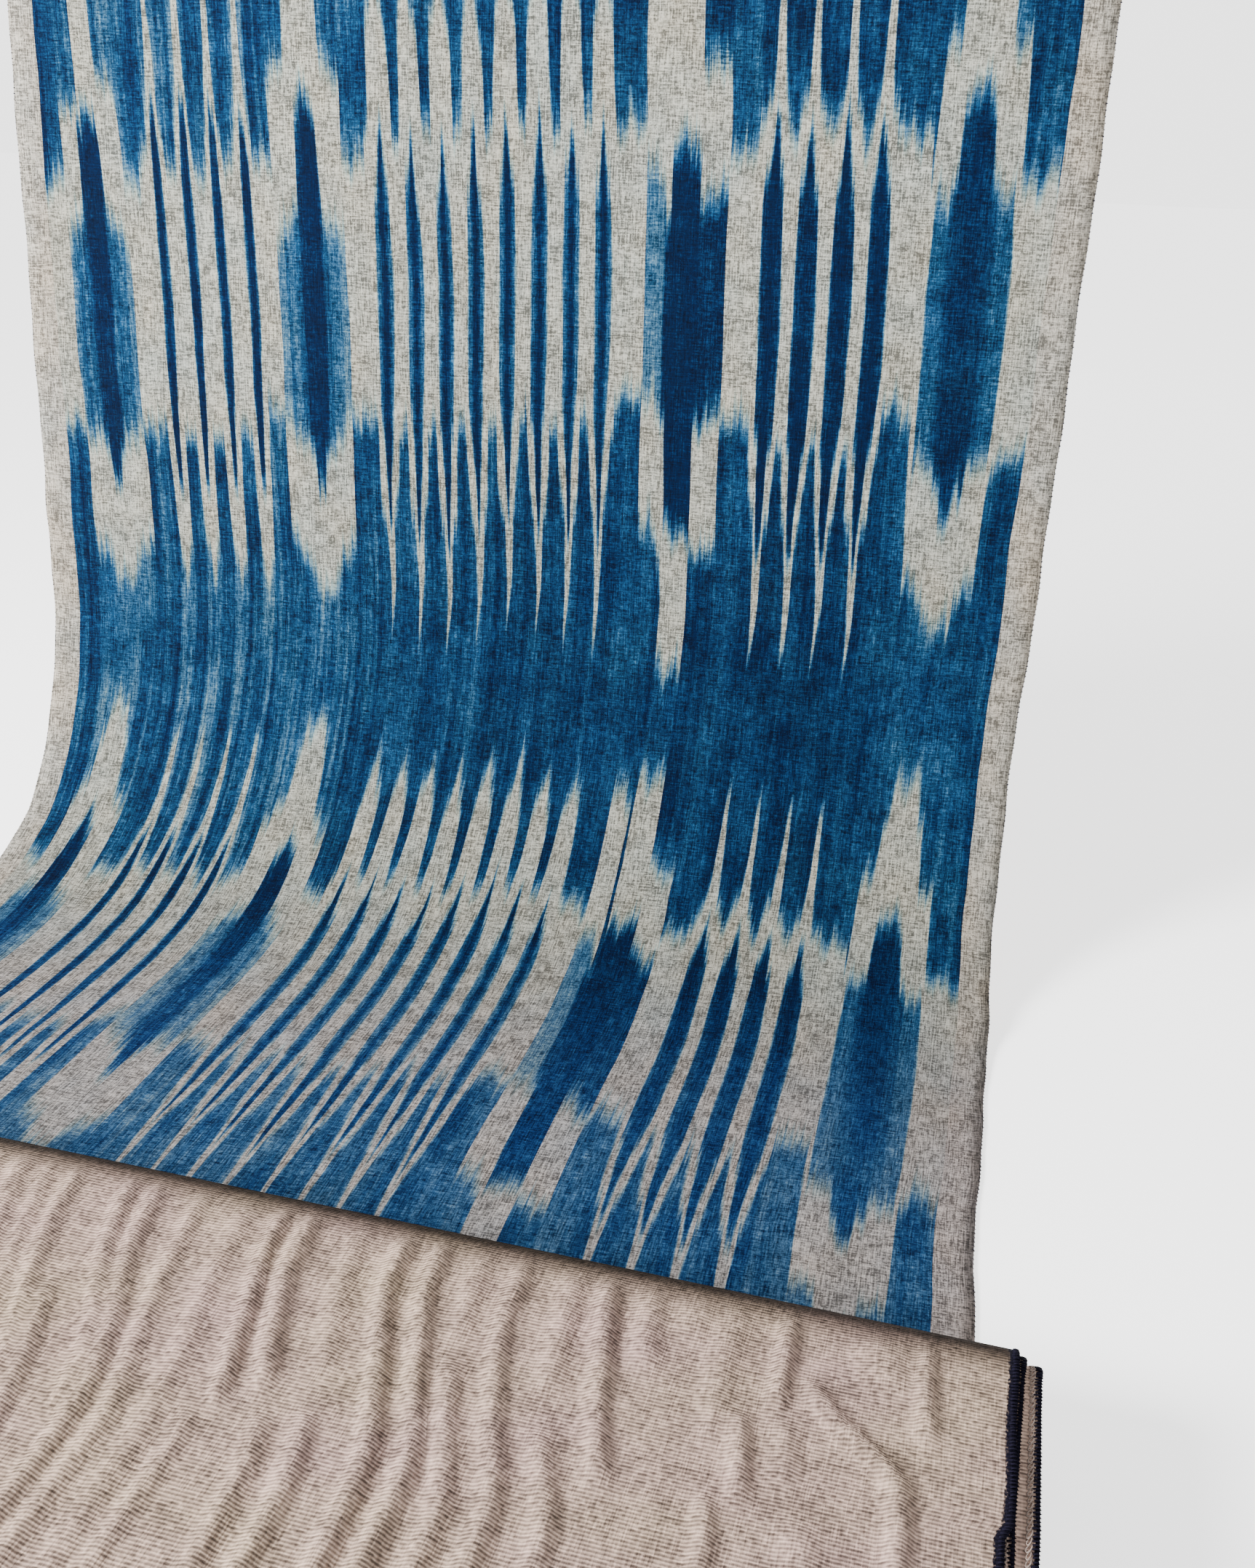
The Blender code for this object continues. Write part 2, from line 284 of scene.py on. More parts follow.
# Ties of each family, from its outer yarns to its middle: how far from the centre each
# step reaches, counted from its family's start, its undyed stretch along the repeat, the
# dyed stretch inside that and its depth, and what is added to the dye between the ties
FAMILY_START = {"stripe": 0, "column": 20, "left stripe": 40, "bar": 100, "block": 200,
                "block side": 240, "wide stripe": 300, "right bar": 400}
TIE_COLUMNS = ("reach", "light_from", "light_to", "dark_from", "dark_to", "depth", "added")
TIES = (
    (490.0, 110, 216, 150, 150, 0, 0.03),
    (411.5, 68, 262, 120, 214, 0.64, 0),
    (406.8, 42, 268, 118, 216, 0.78, 0),
    (404.6, 27, 277, 90, 226, 0.88, 0),
    (402.0, 27, 277, 84, 234, 0.92, 0),
    (350.0, 88, 200, 150, 150, 0, 0),
    (304.2, 84, 222, 150, 150, 0, 0),
    (303.3, 78, 233, 108, 204, 0.88, 0),
    (301.6, 62, 256, 102, 224, 0.96, 0),
    (300.9, 30, 285, 90, 245, 1.00, 0),
    (299.0, 65, 247, 112, 193, 0.92, 0),
    (230.0, 35, 240, 106, 190, 0.50, -0.06),
    (208.6, 40, 250, 123, 192, 0.97, 0),
    (206.0, 30, 295, 97, 237, 1.00, -0.05),
    (190.0, 76, 256, 134, 206, 0.42, 0),
    (111.5, 68, 262, 127, 210, 0.58, -0.02),
    (106.8, 42, 268, 124, 212, 0.70, -0.05),
    (104.6, 27, 277, 90, 216, 0.94, -0.06),
    (102.0, 27, 277, 84, 231, 1.00, -0.06),
    (90.0, 110, 216, 150, 150, 0, 0.06),
    (43.4, 96, 266, 150, 150, 0, -0.08),
    (42.2, 78, 270, 108, 200, 0.74, -0.12),
    (41.2, 40, 280, 90, 236, 1.00, -0.12),
    (30.0, 100, 200, 150, 150, 0, 0),
    (10.0, 88, 200, 150, 150, 0, 0.03),
    (4.2, 54, 226, 150, 150, 0, 0),
    (3.2, 45, 236, 111, 199, 0.60, -0.04),
    (1.6, 38, 259, 104, 218, 0.84, -0.06),
    (0.7, 32, 287, 90, 244, 1.00, -0.08),
)
STEP_BLUR = 0.65

# Two stretches near the top left that are dyed instead of tied, as their edges across
# and where they fade out, and one thin dyed line, as its edges across and along
TOP_LEFT = ((-189.5, -180.5, 86, 98), (-171, -163, 70, 90))
THIN_LINE = (58.4, 60.0, 338.0, 440.0)

# The yarns lean a little to the side along the cloth, except in the outer margins, and
# the pattern runs later from these places on, more so towards the right
LEAN_PLACES = (0, 50, 100, 150, 200, 270, 350, 450, 550, 620)
LEANS = (-4.0, -3.5, -2.0, -0.5, 0.0, 1.5, -1.5, -2.5, -1.0, 0.0)
LEAN_EDGE = (172, 198)
LAGS = ((200.0, 380.0, 0.0, 0.055), (430.0, 560.0, 14.0, 0.080))

# Unevenness of the dye: width, length and detail of each kind of noise, and how much of
# it shows
WANDER, WANDER_BY = (60.0, 70.0, 1.0), 1.8
STRAY, STRAY_BY = (1.5, 42.0, 1.0), 1.0
YARN, YARN_BY = (0.7, 400.0, 2.0), 15.0
BUNDLE, BUNDLE_BY = (3.5, 300.0, 2.0), 22.0
CLOUD, CLOUD_BY = (13.0, 30.0, 3.0), 0.40
STREAK, STREAK_BY = (2.4, 150.0, 1.0), 0.36
# Streaks show more on the left side, up to here
LEFT_STREAK_BY = 0.30
LEFT_SIDE = (-80, -40)
# Feathered ends of each stretch, and how much longer or shorter a yarn makes them
FEATHER = 10.0
FEATHER_YARN = 9.0
# The dye inside the ties is mottled less and never quite gone, and all dye is paler
# further along the cloth, as painted light where the loose end turns to lie facing up
INNER_MOTTLE = 0.55
INNER_BASE = 0.05
PAINTED_LIGHT_PLACES = (400, 500)
PAINTED_LIGHT_BY = 0.27

# Face: colour of the yarn by the depth of its dye
FACE_DYES = (
    (0.00, (180, 173, 160)),
    (0.12, (158, 168, 158)),
    (0.28, (118, 146, 152)),
    (0.46, (68, 110, 140)),
    (0.64, (26, 74, 112)),
    (0.80, (9, 50, 88)),
    (1.00, (2, 27, 62)),
)
FACE_TONE = 0.40
# Square specks, then cells of warp, weft, flecks and clouds, and how much each shows
SPECK = 0.46
FACE_CELLS = ((0.52, 7.0, 1.0), (5.5, 0.55, 1.0), (1.5, 1.2, 2.0), (11.0, 9.0, 2.0))
FACE_SHARES = (0.30, 0.85, 0.80, 0.50, 0.40)
# How the grain shows in natural and in dyed yarn, and the limits of its light and dark
DYED = (0.05, 0.45)
GRAIN_IN_DYE = 0.32
GRAIN_LIGHT = 2.5
GRAIN_LESS = 1.1
FACE_LIMITS = (0.34, 1.75)
# Drift of the hue, and painted reflection low on the loose end, where it lies facing up:
# a warmer veil and a deeper violet on the dyed yarn, as shares of red and blue
FACE_HUE, FACE_HUE_BY = (24.0, 40.0, 3.0), 0.22
PAINTED_VEIL_PLACES = (400, 520)
PAINTED_VEIL_TINT = (0.06, 0.12)
VEIL_VIOLET_DYE = (0.55, 0.90)
PAINTED_VIOLET_TINT = (0.55, 0.30)

# Reverse: rows of short floats, each row started at a place of its own
REVERSE_BASE = (198, 170, 154)
REVERSE_TONE = 0.59
FLOAT_ROW = 1.05
FLOAT_LONG = 1.8
FLOAT_START = 2.6
FLOAT_STAGGER = 1.3
ROWS_APART = 7.3
# Cells of its warp, flecks and blotches
REVERSE_CELLS = ((0.6, 9.0, 1.0), (1.6, 1.3, 2.0), (12.0, 9.0, 3.0))
REVERSE_HUE, REVERSE_HUE_BY = (45.0, 35.0, 2.0), 0.16
EDGE_FUZZ, EDGE_FUZZ_BY = (0.5, 1.1, 2.0), 1.6
# Shares of float, row, warp, fleck and blotch in its light and dark, with the limits of
# that, and of row, float, warp and fleck in its relief
REVERSE_SHARES = (1.35, 0.38, 0.45, 0.85, 0.95)
REVERSE_LIMITS = (0.30, 1.70)
RELIEF_SHARES = (0.25, 0.8, 0.5, 0.5)
# Painted shade along the far fold of the outermost turn, a dark line where the cloth
# turns away from the light: where it lies past the fold's start, where it begins, is
# full, begins to fade and ends from there, how much its beginning wanders, and its depth
FOLD_LINE = 8.5
FOLD_SHADE_PLACES = (-19, -4, -1, 8)
FOLD_SHADE_WANDER = 12.0
FOLD_SHADE_DEPTH = 0.90
# Past this place from the line come the layers beneath, whose reverse is lighter: painted
# light against the shade that the turns above cast on their edges
OUTER_REACH = 40.0
BENEATH_PAINTED_LIGHT = 0.7

# Threads and cut edge: their tones, and the fibres that light and darken them
NAVY = (22, 20, 34)
BOUND_TONE = (20, 18, 30)
CHAIN_TONE = (186, 168, 158)
CUT_TONE = (128, 122, 114)
FIBRE_SCALE = 3500.0
FIBRE_DETAIL = 2.0
FIBRE_LEAST = 0.7
FIBRE_BY = 0.6

# Roughness and height of the relief in metres, and the little shine that all cloth has
FACE_FINISH = (0.92, 0.0002)
REVERSE_FINISH = (0.94, 0.0003)
THREAD_FINISH = (0.95, 0.00015)
CLOTH_SHINE = 0.06

FACE_SLOT, REVERSE_SLOT, BOUND_SLOT, CUT_SLOT = range(4)
FAR_CENTRE = -BOLT_FAR_EDGE - BOLT_HEIGHT / 2.0
NEAR_CENTRE = FAR_CENTRE - BOLT_DEPTH + BOLT_HEIGHT


def smoothstep(value):
    """0 at and below 0, 1 at and above 1, smooth between."""
    value = np.clip(value, 0.0, 1.0)
    return value * value * (3.0 - 2.0 * value)


def add_object(name, data):
    """Put new data into the scene as an object at the origin."""
    added = bpy.data.objects.new(name, data)
    bpy.context.scene.collection.objects.link(added)
    return added


def add_mesh(name, mesh):
    """Turn a finished bmesh into an object."""
    data = bpy.data.meshes.new(name)
    mesh.to_mesh(data)
    mesh.free()
    return add_object(name, data)


# Shape of the cloth


class Path:
    """The cloth's middle line seen from the side, one station for each row of points."""

    def __init__(self, y, z, heading):
        self.y = y
        self.z = z
        self.heading = heading
        self.length = 0.0
        self.stations = []

    def station(self, part, columns, layer=0.0):
        self.stations.append(dict(
            y=self.y, z=self.z, part=part, columns=columns, layer=layer,
            heading=self.heading, length=self.length))

    def go(self, distance):
        self.y += math.cos(self.heading) * distance
        self.z += math.sin(self.heading) * distance
        self.length += distance

    def straight(self, distance, step, part, columns, layer=0.0):
        count = max(1, round(distance / step))
        for _ in range(count):
            self.go(distance / count)
            self.station(part, columns, layer)

    def turn(self, radius, part, columns, layer, next_layer):
        """Half a turn, clockwise as seen from the cloth's right edge."""
        step = math.pi / BEND_STEPS
        chord = 2.0 * radius * math.sin(step / 2.0)
        for index in range(BEND_STEPS):
            self.heading -= step / 2.0
            self.go(chord)
            self.heading -= step / 2.0
            mixed = layer + (next_layer - layer) * (index + 1) / BEND_STEPS
            self.station(part, columns, mixed)


def sweep_drop():
    """Height at which the sweep leaves the hanging plane, from its arc length."""
    middles = (np.arange(SUM_STEPS) + 0.5) / SUM_STEPS
    slopes = math.pi / 2.0 * (1.0 - smoothstep(middles))
    return float(np.sum(np.sin(slopes)) * SWEEP_ARC / SUM_STEPS)


def cloth_path():
    """Walk the cloth from its top edge to the end that is wound in the bolt."""
    half = CLOTH_THICKNESS / 2.0
    down = math.radians(270.0)
    path = Path(0.0, HANG_TOP, down)
    path.station("hang", LOOSE_COLUMNS)
    path.straight(HANG_TOP - sweep_drop() - half, HANG_STEP, "hang", LOOSE_COLUMNS)

    steps = round(SWEEP_ARC / SWEEP_STEP)
    for index in range(steps):
        for short_step in range(CURVE_STEPS):
            fraction = (index + (short_step + 0.5) / CURVE_STEPS) / steps
            path.heading = down - math.pi / 2.0 * float(smoothstep(fraction))
            path.go(SWEEP_ARC / steps / CURVE_STEPS)
        path.heading = down - math.pi / 2.0 * float(smoothstep((index + 1) / steps))
        path.station("sweep", LOOSE_COLUMNS)
    path.heading = math.pi
    path.z = half

    shown = path.y - FAR_CENTRE
    path.straight(shown, RUN_STEP, "run", LOOSE_COLUMNS)
    span = FAR_CENTRE - NEAR_CENTRE
    path.straight(span, UNDER_STEP, "run", WOUND_COLUMNS)

    for layer in range(FULL_TURNS):
        low = half + layer * TURN_PITCH
        high = BOLT_HEIGHT - half - layer * TURN_PITCH
        near_radius = (high - low) / 2.0
        far_radius = (high - low - TURN_PITCH) / 2.0
        path.turn(near_radius, "near fold", WOUND_COLUMNS, layer, layer)
        if layer == 0:
            path.stations[-1]["columns"] = CREASED_COLUMNS
            path.straight(span, TOP_STEP, "top", CREASED_COLUMNS, layer)
            path.turn(far_radius, "far fold", LOOSE_COLUMNS, layer, layer + 1)
            for bend in path.stations[-BEND_STEPS:][:CREASED_BENDS]:
                bend["columns"] = CREASED_COLUMNS
        else:
            path.straight(span, span / LAYER_ROWS, "top", WOUND_COLUMNS, layer)
            path.turn(far_radius, "far fold", WOUND_COLUMNS, layer, layer + 1)
        path.straight(span, span / LAYER_ROWS, "under", WOUND_COLUMNS, layer + 1)
    return path.stations


def bump(distance, half_width):
    """A soft ridge: 1 on its line, 0 at twice its half width and beyond."""
    reach = np.minimum(1.0, np.abs(distance) / (2.0 * half_width))
    return (1.0 - reach * reach) ** 2


def hang_relief(across, station):
    """How far the loose end stands out from its plane, in metres."""
    fade = float(smoothstep(station["z"] / FOLD_FADE))
    place = across * 1000.0
    height = np.zeros_like(across)
    for middle, half_width, rise in HANG_FOLDS:
        height -= fade * rise * bump(place - middle, half_width)
    for middle, start, end, half_width, rise in CROSS_FOLDS:
        ends = np.minimum(place - start, end - place)
        along = float(bump(station["length"] * 1000.0 - middle, half_width))
        height += rise * along * smoothstep(ends / CROSS_END)
    return height / 1000.0


def top_relief(across, station):
    """Height of the creases on the bolt's top layer, in metres."""
    depth = (FAR_CENTRE - station["y"]) * 1000.0
    height = np.zeros_like(across)
    for index, (rise, half_width, points) in enumerate(CREASES):
        places, depths = zip(*points)
        first = depths[0] if depths[0] > CREASE_END else -2.0 * CREASE_END
        end = (depths[-1] - depth) / CREASE_END
        place = float(np.interp(depth, depths, places))
        if depths[-1] >= LONG_CREASE:
            last = depths[-1] + RUN_ON[index % len(RUN_ON)]
            end = (last - depth) / RUN_ON_END
            lean = (places[-1] - places[-2]) / (depths[-1] - depths[-2])
            place += lean * max(0.0, depth - depths[-1])
        ends = min((depth - first) / CREASE_END, end)
        ridge = bump(across * 1000.0 - place, half_width * CREASE_NARROW)
        height += rise * CREASE_RISE * float(smoothstep(ends)) * ridge
    return height * float(smoothstep((depth - FOLD_CLEAR) / CREASE_END)) / 1000.0


def edge_shift(across, station):
    """How far the cloth's edges wander sideways, in metres."""
    along = station["length"] * 1000.0
    wave = sum(size * math.sin(2.0 * math.pi * along / length + start)
               for size, length, start in EDGE_WAVES) / 1000.0
    edge = (across / (CLOTH_WIDTH / 2.0)) ** EDGE_POWER
    shift = wave * edge
    left, right = (float(np.interp(along, DRAWN_PLACES, drawn)) / 1000.0
                   for drawn in (DRAWN_LEFT, DRAWN_RIGHT))
    reach = (np.abs(across) - CLOTH_WIDTH / 2.0) * 1000.0 / MARGIN_WIDTH + 1.0
    shift += np.where(across < 0.0, left, right) * smoothstep(reach)
    if station["part"] == "top" and station["layer"] == 0:
        depth = FAR_CENTRE - station["y"]
        pull = float(smoothstep((depth - PULL_DEPTH) / PULL_LENGTH))
        shift -= PULL_IN * pull * np.maximum(edge, 0.0)
    return shift


def under_bolt(station):
    """0 on the loose end, rising to 1 where the cloth turns up into the bolt."""
    if station["part"] not in LOOSE_PARTS:
        return 1.0
    start = FAR_CENTRE + BOLT_HEIGHT
    return float(smoothstep((start - station["y"]) / (BOLT_DEPTH - BOLT_HEIGHT / 2.0)))


def row_places(across, offset, station):
    """Points across one row in world space, offset from the cloth's middle line."""
    relief = np.zeros_like(across)
    if station["part"] in ("hang", "sweep"):
        relief = hang_relief(across, station)
    elif station["part"] in ("top", "far fold") and station["layer"] < 0.5:
        relief = -top_relief(across, station)
    stand = offset + relief
    y = station["y"] + math.sin(station["heading"]) * stand
    z = station["z"] - math.cos(station["heading"]) * stand
    slide = float(np.interp(station["layer"], range(len(LAYER_SLIDES)), LAYER_SLIDES)) / 1000.0
    turn = under_bolt(station)
    drift = RUN_DRIFT * float(smoothstep((-station["y"] - DRIFT_START) / DRIFT_LENGTH))
    x = across + edge_shift(across, station) + slide + drift * (1.0 - turn)
    reach = y - FAR_CENTRE
    cosine = math.cos(BOLT_TURN * turn)
    sine = math.sin(BOLT_TURN * turn)
    turned_x = x * cosine - reach * sine
    turned_y = FAR_CENTRE + x * sine + reach * cosine
    return np.stack([turned_x + SIDE_SHIFT, turned_y + BACK_SHIFT, z], axis=1)


def columns_of(station):
    """Places across the cloth of one row's points, in metres from its middle."""
    count = station["columns"]
    return CLOTH_WIDTH * (np.arange(count + 1) / count - 0.5)


def join_rows(mesh, first, second, flip, slot):
    """Fill the strip between two rows, which may have different counts of points."""
    left = 0
    right = 0
    while left < len(first) - 1 or right < len(second) - 1:
        left_next = (left + 1) / (len(first) - 1)
        right_next = (right + 1) / (len(second) - 1)
        if abs(left_next - right_next) < SAME_PLACE:
            corners = [first[left], first[left + 1], second[right + 1], second[right]]
            left += 1
            right += 1
        elif right_next > left_next:
            corners = [first[left], first[left + 1], second[right]]
            left += 1
        else:
            corners = [first[left], second[right + 1], second[right]]
            right += 1
        if flip:
            corners.reverse()
        face = mesh.faces.new(corners)
        face.material_index = slot
        face.smooth = True


def chart_spot(across, along):
    """Where a spot of the cloth falls on the pattern's chart, all in metres."""
    across *= 1000.0
    along *= 1000.0
    low, high = LEAN_EDGE
    weight = 1.0 - smoothstep((abs(across) - low) / (high - low))
    lean = np.interp(along, LEAN_PLACES, LEANS) * weight
    lag = sum((late + skew * across) * smoothstep((along - start) / (end - start))
              for start, end, late, skew in LAGS)
    return (across - lean) / 1000.0, (along - lag) / 1000.0


def make_cloth(stations):
    """The whole cloth as one closed thin sheet: patterned face, plain reverse and rim."""
    mesh = bmesh.new()
    uv = mesh.loops.layers.uv.new("cloth")
    chart = mesh.loops.layers.uv.new("chart")
    spots = {}
    half = CLOTH_THICKNESS / 2.0
    sides = []
    for offset in (half, -half):
        rows = []
        for station in stations:
            across = columns_of(station)
            row = []
            for place, spot in zip(row_places(across, offset, station), across):
                point = mesh.verts.new(place)
                spots[point] = (float(spot), station["length"])
                row.append(point)
            rows.append(row)
        sides.append(rows)
    face_rows, back_rows = sides
    for index in range(len(stations) - 1):
        join_rows(mesh, face_rows[index], face_rows[index + 1], False, FACE_SLOT)
        join_rows(mesh, back_rows[index], back_rows[index + 1], True, REVERSE_SLOT)
        for side in (0, -1):
            edge = [face_rows[index][side], face_rows[index + 1][side],
                    back_rows[index + 1][side], back_rows[index][side]]
            if side == -1:
                edge.reverse()
            loose = stations[index + 1]["part"] in LOOSE_PARTS
            mesh.faces.new(edge).material_index = CUT_SLOT if loose else BOUND_SLOT
    join_rows(mesh, face_rows[0], back_rows[0], True, CUT_SLOT)
    join_rows(mesh, face_rows[-1], back_rows[-1], False, CUT_SLOT)
    for face in mesh.faces:
        for loop in face.loops:
            loop[uv].uv = spots[loop.vert]
            if face.material_index == FACE_SLOT:
                loop[chart].uv = chart_spot(*spots[loop.vert])
    bmesh.ops.recalc_face_normals(mesh, faces=mesh.faces)
    return add_mesh("cloth_sheet", mesh)


# Shader helpers


def wired(operation):
    """A method that joins a wire and another value with one maths node."""
    def method(self, other):
        return self.kit.maths(operation, self, other)
    return method


class Wire:
    """A shader socket that takes part in Python arithmetic."""

    def __init__(self, kit, socket):
        self.kit = kit
        self.socket = socket

    def __rsub__(self, other):
        return self.kit.maths("SUBTRACT", other, self)

    __add__ = __radd__ = wired("ADD")
    __sub__ = wired("SUBTRACT")
    __mul__ = __rmul__ = wired("MULTIPLY")
    __truediv__ = wired("DIVIDE")
    __mod__ = wired("FLOORED_MODULO")
    __lt__ = wired("LESS_THAN")
    __gt__ = wired("GREATER_THAN")


class Kit:
    """Builds the nodes of one material or of the surroundings."""

    def __init__(self, owner, shader="Principled BSDF"):
        self.owner = owner
        owner.use_nodes = True
        self.tree = owner.node_tree
        self.shader = self.tree.nodes[shader]

    def node(self, kind, inputs=None, output=0, **settings):
        """Add one node: its settings first, then the values or links of its sockets."""
        made = self.tree.nodes.new(kind)
        stops = settings.pop("stops", None)
        for name, value in settings.items():
            setattr(made, name, value)
        if stops:
            ramp = made.color_ramp
            while len(ramp.elements) > 1:
                ramp.elements.remove(ramp.elements[-1])
            ramp.elements[0].position = stops[0][0]
            ramp.elements[0].color = (*stops[0][1], 1.0)
            for position, colour in stops[1:]:
                ramp.elements.new(position).color = (*colour, 1.0)
        for name, value in (inputs or {}).items():
            self.set(made.inputs[name], value)
        return Wire(self, made.outputs[output])

    def set(self, socket, value):
        """Link a socket to a wire, or give it a plain value."""
        if isinstance(value, Wire):
            self.tree.links.new(value.socket, socket)
        else:
            socket.default_value = value

    def maths(self, operation, *values):
        return self.node("ShaderNodeMath", dict(enumerate(values)), operation=operation)

    def vector(self, x, y):
        return self.node("ShaderNodeCombineXYZ", {0: x, 1: y})

    def noise(self, x, y, detail):
        """Smooth noise about 0, up to half a unit each way, one unit of x or y to a cell."""
        return self.node("ShaderNodeTexNoise",
                         {"Vector": self.vector(x, y), "Scale": 1.0, "Detail": detail},
                         noise_dimensions="2D") - 0.5

    def uneven(self, across, along, cells):
        """Noise about 0 over the cloth, its cells given as width, length and detail."""
        wide, long, detail = cells
        return self.noise(across / wide, along / long, detail)

    def random(self, value):
        """A fixed random number from 0 to 1 for each whole number."""
        return self.node("ShaderNodeTexWhiteNoise", {"W": value}, noise_dimensions="1D")

    def ease(self, value, low, high):
        """0 below low, 1 above high, smooth between them."""
        return self.node("ShaderNodeMapRange", {"Value": value, "From Min": low, "From Max": high},
                         interpolation_type="SMOOTHSTEP")

    def mix(self, factor, first, second, blend="MIX"):
        """Mix two colours."""
        mixed = self.node("ShaderNodeMix", output=2, data_type="RGBA", blend_type=blend)
        made = mixed.socket.node
        self.set(made.inputs[0], factor)
        self.set(made.inputs[6], first)
        self.set(made.inputs[7], second)
        return mixed

    def tint(self, base, red, green, blue):
        """A colour whose red, green and blue are each multiplied by a value."""
        shade = self.node("ShaderNodeCombineColor", {0: red, 1: green, 2: blue})
        return self.mix(1.0, base, shade, "MULTIPLY")

    def finish(self, tone, height, roughness, relief):
        """Matt cloth or thread of this tone."""
        self.set(self.shader.inputs["Base Color"], tone)
        self.set(self.shader.inputs["Roughness"], roughness)
        self.set(self.shader.inputs["Specular IOR Level"], CLOTH_SHINE)
        normal = self.node("ShaderNodeBump", {"Strength": 1.0, "Distance": relief,
                                              "Height": height})
        self.set(self.shader.inputs["Normal"], normal)
        return self.owner


def linear(red, green, blue):
    """A colour read on a screen, 0 to 255, as the shader's linear light."""
    def one(value):
        value /= 255.0
        return value / 12.92 if value <= 0.04045 else ((value + 0.055) / 1.055) ** 2.4
    return (one(red), one(green), one(blue))


def colour(red, green, blue):
    """The same with full opacity, as a colour socket takes it."""
    return (*linear(red, green, blue), 1.0)


def cloth_spot(kit, layer):
    """Place on the cloth in millimetres: across from the middle, along from the top edge."""
    spot = kit.node("ShaderNodeUVMap", uv_map=layer)
    parts = kit.node("ShaderNodeSeparateXYZ", {0: spot})
    across = parts * 1000.0
    along = Wire(kit, parts.socket.node.outputs[1]) * 1000.0
    return across, along


def blend(parts, shares):
    """Add up the parts, each by its share."""
    total = parts[0] * shares[0]
    for part, share in zip(parts[1:], shares[1:]):
        total = total + part * share
    return total


# Face: ikat pattern and weave


def face_grain(kit, across, along):
    """Slubby plain weave, its light and dark about 0."""
    cell = kit.vector(kit.maths("FLOOR", across / SPECK), kit.maths("FLOOR", along / SPECK))
    speck = kit.node("ShaderNodeTexWhiteNoise", {"Vector": cell}, noise_dimensions="2D") - 0.5
    woven = [kit.uneven(across, along, cells) for cells in FACE_CELLS]
    return blend([speck] + woven, FACE_SHARES)


def inside(place, low, high):
    """1 between two places, 0 outside them."""
    return (place > low) * (place < high)


def ikat_dye(kit, across, along):
    """How much dye a spot of the face holds, from 0 for undyed to 1 for the deepest."""
    wander = kit.uneven(across, along, WANDER)
    stray = kit.uneven(across, along, STRAY)
    across = across + wander * WANDER_BY + stray * STRAY_BY
    yarn = kit.uneven(across, along, YARN)
    bundle = kit.uneven(across, along, BUNDLE)
    ragged = along + yarn * YARN_BY + bundle * BUNDLE_BY

    distance = shift = field = 0.0
    left = MARGIN_LEFT
    for right, family, centre, pitch, spread, late, depth in GROUPS:
        here = inside(across, left, right)
        left = right
        away = FAMILY_START[family]
        if pitch:
            folded = kit.maths("PINGPONG", across - centre, pitch / 2.0)
            away = folded * spread + away
        distance = kit.maths("MULTIPLY_ADD", here, away, distance)
        shift = kit.maths("MULTIPLY_ADD", here, late, shift)
        field = kit.maths("MULTIPLY_ADD", here, depth, field)

    place = (ragged - shift) % REPEAT
    ties = [dict(zip(TIE_COLUMNS, row)) for row in TIES]
    limits = {name: ties[0][name] for name in TIE_COLUMNS[1:]}
    for outer, inner in zip(ties, ties[1:]):
        within = 1.0 - kit.ease(distance, inner["reach"] - STEP_BLUR, inner["reach"] + STEP_BLUR)
        for name in TIE_COLUMNS[1:]:
            step = inner[name] - outer[name]
            if step:
                limits[name] = kit.maths("MULTIPLY_ADD", within, step, limits[name])

    feather = FEATHER + yarn * FEATHER_YARN

    def stretch(start, end):
        return (kit.ease(place, start - feather, start + feather)
                * (1.0 - kit.ease(place, end - feather, end + feather)))

    untied = sum(inside(across, left, right) * (1.0 - kit.ease(ragged, fading, faded))
                 for left, right, fading, faded in TOP_LEFT)
    left, right, start, end = THIN_LINE
    line = inside(across, left, right) * inside(ragged, start, end)
    light = stretch(limits["light_from"], limits["light_to"]) * (1.0 - untied) * (1.0 - line)
    dark = stretch(limits["dark_from"], limits["dark_to"])
    left_side = 1.0 - kit.ease(across, *LEFT_SIDE)
    streaks = kit.uneven(across, along, STREAK) * (STREAK_BY + LEFT_STREAK_BY * left_side)
    mottle = kit.uneven(across, along, CLOUD) * CLOUD_BY + streaks
    inner_dye = dark * (limits["depth"] + mottle * INNER_MOTTLE) + INNER_BASE
    # Painted light: the dye fades further along, where the loose end turns to lie facing up
    painted_light_low = 1.0 - kit.ease(along, *PAINTED_LIGHT_PLACES) * PAINTED_LIGHT_BY
    dye = (1.0 - light) * (field + limits["added"] + mottle) + light * inner_dye
    return dye * painted_light_low * inside(across, MARGIN_LEFT, MARGIN_RIGHT)


